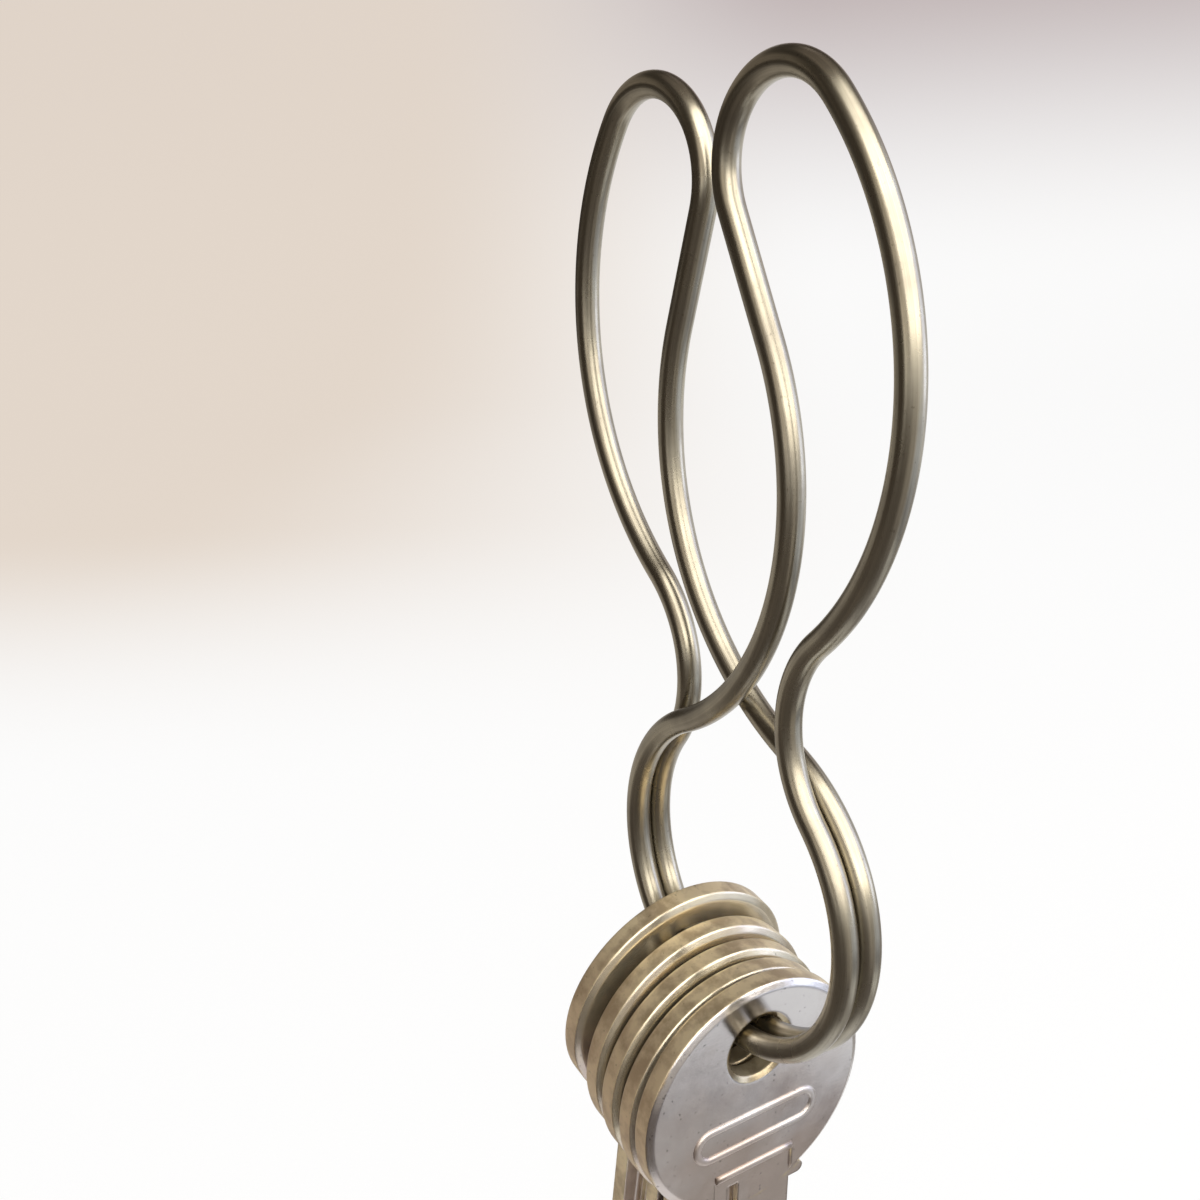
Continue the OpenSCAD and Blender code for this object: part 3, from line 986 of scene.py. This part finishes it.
# Cards round the object that the metal alone reflects: degrees from the camera's side, then
# points (distance, height over the floor), then the colour, or those at the floor and the top
CARDS = (
    ("left_low_card", -172, -98, LOW_LEFT, "#c5beb5", "#b1aba3"),
    ("left_mid_card", -172, -98, ((0.3, 0.095), (0.3, 0.2)), "#3d3730"),
    ("left_high_card", -172, -98, ((0.3, 0.2), (0.3, 0.34)), "#c2b8aa", "#8a8074"),
    ("left_top_card", -172, -98, ((0.3, 0.34), (0.3, 0.6)), "#3d3730"),
    ("side_floor_card", -98, -46, floor_strip(CARD_NEAR, 0.27), "#716962"),
    ("side_card", -98, -46, ((0.27, CARD_RISE), (0.3, 0.03), (0.3, 0.6)), "#4a423a", "#3a342e"),
    ("front_card", -46, 12, floor_strip(CARD_NEAR, 0.7), "#67605a"),
    ("right_near_card", 12, 54, floor_strip(CARD_NEAR, 0.12), "#77716f"),
    ("right_card", 12, 54, floor_strip(0.12, 0.7), "#b5aea6"),
    ("near_card", 54, 106, floor_strip(CARD_NEAR, 0.063), "#c2c0bd"),
    ("shade_card", 54, 106, floor_strip(0.063, 0.077), "#a6a2a3"),
    ("sky_card", 54, 106, floor_strip(0.077, 0.115), "#fcfeff"),
    ("dusk_card", 54, 106, floor_strip(0.115, 0.17), "#8a8b92"),
    ("blue_card", 54, 106, floor_strip(0.17, 0.45), "#e4ecfb"),
    ("grey_card", 106, 142, floor_strip(CARD_NEAR, 0.3), "#a8a39c"),
    ("back_card", 118, 192, ((0.45, 0.375), (0.45, 0.75)), "#5a5047", "#463e36"),
)

# The paper sheet, in metres: how far it runs in front of the object, the radius of its curve
# behind it, how high it stands over the floor, and half its width
SHEET_NEAR = 2.0
SHEET_CURVE = 0.5
SHEET_TOP = 2.2
SHEET_HALF = 2.5

# Where the sheet's tints begin and are full, in metres: out to the left, back from the object,
# up from the floor for the painted shade up high, and towards the sheet's sides, where both tints end
TINT_LEFT = (-0.1, 0.28)
TINT_BACK = (0.22, 0.52)
PAINTED_SHADE_UP = (0.04, 0.34)
TINT_SIDES = (1.6, 0.8)

# Share of the sheet's light that is its own plain colour, where the camera or metal sees it
SHEET_GLOW = 0.94

# Paper fibres repeat about once in a millimetre, drawn coarse enough to show
FIBRES_PER_M = 900.0


def around(degrees, distance, height):
    """A place round the object: degrees to the right of the camera's side, seen from it."""
    toward = Vector((CAMERA_AT[0], CAMERA_AT[1], 0)).normalized()
    right = Vector((-toward.y, toward.x, 0))
    a = math.radians(degrees)
    return toward * math.cos(a) * distance + right * math.sin(a) * distance + Vector((0, 0, height))


def softbox(name, place, width, height, power, colour):
    """A soft rectangular light at a place, turned to the middle of the object."""
    lamp = bpy.data.lights.new(name, "AREA")
    lamp.shape = "RECTANGLE"
    lamp.size = width
    lamp.size_y = height
    lamp.energy = power
    lamp.color = linear(colour)[:3]
    obj = add_object(name, lamp)
    obj.location = place
    obj.rotation_euler = (Vector(LIT_AT) - place).to_track_quat("-Z", "Y").to_euler()


def lit_card(name, floor_z, top_z, low, high):
    """Plain glow that gives the metal its broad bands of light and dark. The colour is even, or
    runs from low at the floor to high at the top where high is given."""
    material = bpy.data.materials.new(name)
    material.use_nodes = True
    tree = material.node_tree
    tree.nodes.clear()
    if high is None:
        tone = linear(low)
    else:
        at = put(tree, "ShaderNodeTexCoord").outputs["Object"]
        height = put(tree, "ShaderNodeSeparateXYZ", {0: at}).outputs["Z"]
        up = put(
            tree, "ShaderNodeMapRange", {"Value": height, "From Min": floor_z, "From Max": top_z}
        ).outputs[0]
        ends = {6: linear(low), 7: linear(high)}
        tone = put(tree, "ShaderNodeMix", {0: up, **ends}, data_type="RGBA").outputs[2]
    glow = put(tree, "ShaderNodeEmission", {"Color": tone, "Strength": 1.0})
    put(tree, "ShaderNodeOutputMaterial", {"Surface": glow.outputs[0]})
    return material


def reflected_card(floor_z, name, start, stop, profile, low, high=None):
    """A curved card that neither the camera, the floor nor the shadows see."""
    build = bmesh.new()
    columns, count = [], math.ceil((stop - start) / 4)
    for k in range(count + 1):
        degrees = start + (stop - start) * k / count
        places = [around(degrees, distance, floor_z + rise) for distance, rise in profile]
        columns.append([build.verts.new(place) for place in places])
    for a, b in zip(columns, columns[1:]):
        for j in range(len(profile) - 1):
            build.faces.new((a[j], b[j], b[j + 1], a[j + 1])).smooth = True
    card = add_mesh(name, build)
    card.data.materials.append(lit_card(name, floor_z, floor_z + profile[-1][1], low, high))
    card.visible_camera = False
    card.visible_diffuse = False
    card.visible_shadow = False
    card.visible_transmission = False
    card.visible_volume_scatter = False


def matt_paper(colours, floor_z, away, across):
    """Matt paper: to the camera and in reflections it has its plain colour, and it keeps shadows.
    It is white below, warmer far out on the left, and darker up high on the right, a soft grey rose of
    painted shade."""
    material, tree, shader = new_material("matt_paper")
    at = put(tree, "ShaderNodeTexCoord").outputs["Object"]
    height = put(tree, "ShaderNodeSeparateXYZ", {0: at}).outputs["Z"]
    leftward = put(
        tree, "ShaderNodeVectorMath", {0: at, 1: across}, operation="DOT_PRODUCT"
    ).outputs["Value"]
    left = put(
        tree,
        "ShaderNodeMapRange",
        {"Value": leftward, "From Min": TINT_LEFT[0], "From Max": TINT_LEFT[1]},
        interpolation_type="SMOOTHSTEP",
    ).outputs[0]
    run = put(tree, "ShaderNodeVectorMath", {0: at, 1: away}, operation="DOT_PRODUCT").outputs["Value"]
    far = put(
        tree,
        "ShaderNodeMapRange",
        {"Value": run, "From Min": TINT_BACK[0], "From Max": TINT_BACK[1]},
        interpolation_type="SMOOTHSTEP",
    ).outputs[0]
    warm = put(tree, "ShaderNodeMath", {0: left, 1: far}, operation="MULTIPLY").outputs[0]
    # Painted shade: the paper turns a darker grey rose up high, less so on the left
    up = put(
        tree,
        "ShaderNodeMapRange",
        {"Value": height, "From Min": floor_z + PAINTED_SHADE_UP[0], "From Max": floor_z + PAINTED_SHADE_UP[1]},
        interpolation_type="SMOOTHSTEP",
    ).outputs[0]
    level = put(tree, "ShaderNodeMapRange", {"Value": left, "To Min": 1.0, "To Max": 0.08}).outputs[0]
    up = put(tree, "ShaderNodeMath", {0: up, 1: level}, operation="MULTIPLY").outputs[0]
    # Both tints fade out towards the sheet's sides
    aside = put(tree, "ShaderNodeMath", {0: leftward}, operation="ABSOLUTE").outputs[0]
    middle = put(
        tree,
        "ShaderNodeMapRange",
        {"Value": aside, "From Min": TINT_SIDES[0], "From Max": TINT_SIDES[1]},
        interpolation_type="SMOOTHSTEP",
    ).outputs[0]
    up = put(tree, "ShaderNodeMath", {0: up, 1: middle}, operation="MULTIPLY").outputs[0]
    warm = put(tree, "ShaderNodeMath", {0: warm, 1: middle}, operation="MULTIPLY").outputs[0]
    colour = put(
        tree,
        "ShaderNodeMix",
        {0: warm, 6: linear(colours.paper), 7: linear(colours.paper_warm)},
        data_type="RGBA",
    ).outputs[2]
    colour = put(
        tree, "ShaderNodeMix", {0: up, 6: colour, 7: linear(colours.paper_shade_high)}, data_type="RGBA"
    ).outputs[2]
    fibre = put(
        tree, "ShaderNodeTexNoise", {"Vector": at, "Scale": FIBRES_PER_M, "Detail": 2.0}
    ).outputs["Fac"]
    bump = put(
        tree, "ShaderNodeBump", {"Height": fibre, "Strength": 0.1, "Distance": 0.2 * MM}
    ).outputs[0]
    tree.links.new(colour, shader.inputs["Base Color"])
    tree.links.new(bump, shader.inputs["Normal"])
    shader.inputs["Roughness"].default_value = 0.9
    shader.inputs["Specular IOR Level"].default_value = 0.1

    ray = put(tree, "ShaderNodeLightPath").outputs
    seen = put(
        tree, "ShaderNodeMath", {0: ray["Is Camera Ray"], 1: ray["Is Glossy Ray"]}, operation="MAXIMUM"
    ).outputs[0]
    seen = put(
        tree, "ShaderNodeMath", {0: seen, 1: ray["Is Transmission Ray"]}, operation="MAXIMUM"
    ).outputs[0]
    share = put(tree, "ShaderNodeMath", {0: seen, 1: SHEET_GLOW}, operation="MULTIPLY").outputs[0]
    glow = put(tree, "ShaderNodeEmission", {"Color": colour, "Strength": 1.0}).outputs[0]
    mixed = put(tree, "ShaderNodeMixShader", {0: share, 1: shader.outputs[0], 2: glow}).outputs[0]
    tree.links.new(mixed, tree.nodes["Material Output"].inputs["Surface"])
    return material


def paper_sheet(s, colours):
    """One sheet of paper runs out flat behind the object, then curves up into the backdrop."""
    away = -Vector((CAMERA_AT[0], CAMERA_AT[1], 0)).normalized()
    across = Vector((-away.y, away.x, 0))
    flat_end = s.room - SHEET_CURVE
    profile = [(-SHEET_NEAR, 0.0), (flat_end, 0.0)]
    for degrees in range(5, 91, 5):
        a = math.radians(degrees)
        profile.append((flat_end + SHEET_CURVE * math.sin(a), SHEET_CURVE - SHEET_CURVE * math.cos(a)))
    profile.append((s.room, SHEET_TOP))
    build = bmesh.new()
    edges = []
    for run, rise in profile:
        middle = away * run + Vector((0, 0, s.floor_z + rise))
        edges.append([build.verts.new(middle + across * w) for w in (-SHEET_HALF, SHEET_HALF)])
    for a, b in zip(edges, edges[1:]):
        build.faces.new((a[0], a[1], b[1], b[0])).smooth = True
    sheet = add_mesh("paper_sweep", build)
    sheet.data.materials.append(matt_paper(colours, s.floor_z, away, across))


def studio_world(scene, colours):
    """Dim room light, darker above. The camera sees the paper's colour in its place."""
    world = bpy.data.worlds.new("studio")
    scene.world = world
    world.use_nodes = True
    tree = world.node_tree
    tree.nodes.clear()
    way = put(tree, "ShaderNodeTexCoord").outputs["Generated"]
    rise = put(tree, "ShaderNodeSeparateXYZ", {0: way}).outputs["Z"]
    up = put(
        tree,
        "ShaderNodeMapRange",
        {"Value": rise, "From Min": 0.05, "From Max": 0.75},
        interpolation_type="SMOOTHSTEP",
    ).outputs[0]
    tone = put(
        tree,
        "ShaderNodeMix",
        {0: up, 6: linear(colours.room_low), 7: linear(colours.room_high)},
        data_type="RGBA",
    ).outputs[2]
    ray = put(tree, "ShaderNodeLightPath").outputs
    shown = put(
        tree, "ShaderNodeMix", {0: ray["Is Camera Ray"], 6: tone, 7: linear(colours.paper)}, data_type="RGBA"
    ).outputs[2]
    light = put(tree, "ShaderNodeBackground", {"Color": shown, "Strength": 1.0}).outputs[0]
    put(tree, "ShaderNodeOutputWorld", {"Surface": light})


def photo_camera(scene):
    """The camera at the photo's viewing angle."""
    lens = bpy.data.cameras.new("camera")
    lens.lens = CAMERA_LENS
    lens.sensor_width = CAMERA_SENSOR
    lens.sensor_fit = "HORIZONTAL"
    lens.clip_start = 0.005
    lens.clip_end = 20.0
    camera = add_object("camera", lens)
    right, down = Vector(CAMERA_RIGHT).normalized(), Vector(CAMERA_DOWN).normalized()
    turn = Matrix((right, -down, right.cross(-down))).transposed()
    camera.matrix_world = Matrix.Translation(CAMERA_AT) @ turn.to_4x4()
    scene.camera = camera


class KEYCLIP_OT_stage(bpy.types.Operator):
    """Sets the paper sheet, reflected cards, softboxes, world and camera"""

    bl_idname = "keyclip.stage"
    bl_label = "Set Stage"

    def execute(self, context):
        scene, s, colours = context.scene, context.scene.clip_stage, context.scene.clip_colours
        paper_sheet(s, colours)
        for card in CARDS:
            reflected_card(s.floor_z, *card)
        for name, degrees, distance, height, light_w, light_h in SOFTBOXES:
            place = around(degrees, distance, height)
            power, colour = getattr(s, name + "_power"), getattr(colours, name + "_light")
            softbox(name + "_softbox", place, light_w, light_h, power, colour)
        studio_world(scene, colours)
        photo_camera(scene)
        scene.view_settings.view_transform = "Standard"
        return {"FINISHED"}


class KEYCLIP_PT_panel(bpy.types.Panel):
    """Buttons that set the stage, draw the wire and finish the keys"""

    bl_label = "Key Clip"
    bl_idname = "KEYCLIP_PT_panel"
    bl_space_type = "VIEW_3D"
    bl_region_type = "UI"
    bl_category = "Key Clip"

    def draw(self, context):
        column = self.layout.column()
        for operator in (KEYCLIP_OT_stage, KEYCLIP_OT_wire, KEYCLIP_OT_keys):
            column.operator(operator.bl_idname)


CLASSES = (
    ClipWireSizes,
    KeySizes,
    ClipColours,
    StageSizes,
    KEYCLIP_OT_stage,
    KEYCLIP_OT_wire,
    KEYCLIP_OT_keys,
    KEYCLIP_PT_panel,
)


def register():
    for cls in CLASSES:
        bpy.utils.register_class(cls)
    bpy.types.Scene.clip_wire = bpy.props.PointerProperty(type=ClipWireSizes)
    bpy.types.Scene.clip_keys = bpy.props.PointerProperty(type=KeySizes)
    bpy.types.Scene.clip_colours = bpy.props.PointerProperty(type=ClipColours)
    bpy.types.Scene.clip_stage = bpy.props.PointerProperty(type=StageSizes)


def unregister():
    for name in ("clip_stage", "clip_colours", "clip_keys", "clip_wire"):
        delattr(bpy.types.Scene, name)
    for cls in reversed(CLASSES):
        bpy.utils.unregister_class(cls)


def main():
    register()
    bpy.ops.keyclip.stage()
    bpy.ops.keyclip.wire()
    bpy.ops.keyclip.keys()


if __name__ == "__main__":
    main()
